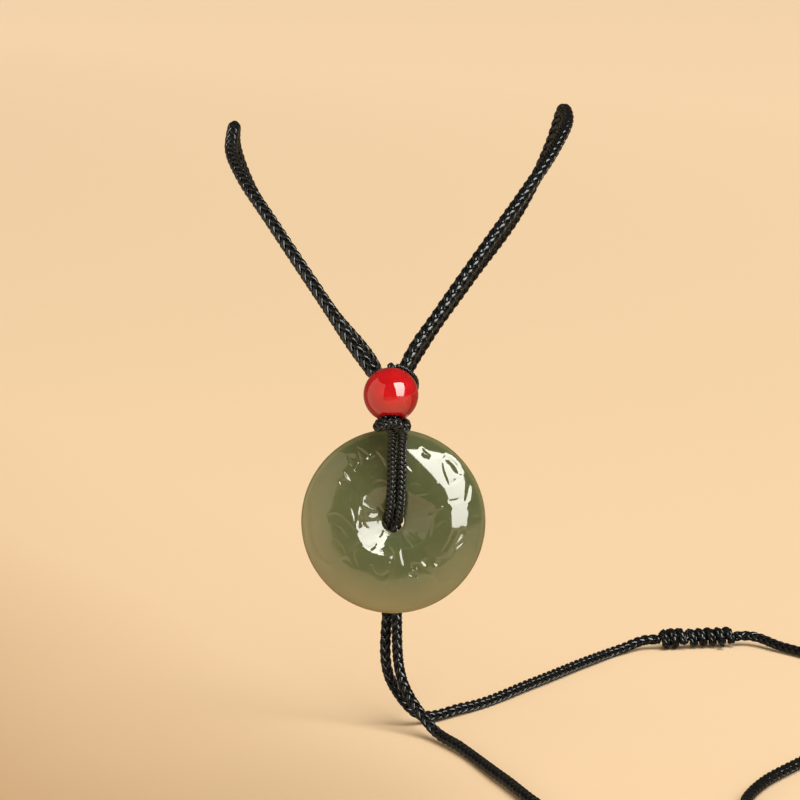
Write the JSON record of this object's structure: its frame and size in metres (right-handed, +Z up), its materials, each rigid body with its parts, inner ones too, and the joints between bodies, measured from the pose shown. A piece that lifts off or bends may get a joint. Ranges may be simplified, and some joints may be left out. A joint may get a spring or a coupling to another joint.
{
  "type": "jade pendant necklace",
  "caption": "Carved jade disc on a thin loop cord with a coral-red bead, hung from a braided neck cord that closes in a wrapped knot.",
  "frame": {"origin": "midway between the two crests where the neck cord passes over the shoulders", "axes": "+Z up, from the disc to the bead, +Y to the back, +X to the right as seen from the front"},
  "size_m": [0.1215, 0.1729, 0.1191],
  "materials": {
    "jade": "polished translucent nephrite",
    "coral": "polished coral red",
    "thin_cord": "fine waxed braid",
    "neck_braid": "glossy round braid"
  },
  "bodies": {
    "necklace": {"neck_cord": "neck_braid", "closure_knot": "neck_braid"},
    "drop": {"jade_disc": "jade", "coral_bead": "coral", "hanging_cord": "thin_cord", "junction_knot": "thin_cord"}
  },
  "joints": [
    {"name": "pendant_swing", "type": "hinge", "parent": "necklace", "child": "drop", "pos_m": [-0.0012, -0.0491, -0.0366], "axis": [1, 0, 0], "range_deg": [-30, 30]}
  ]
}
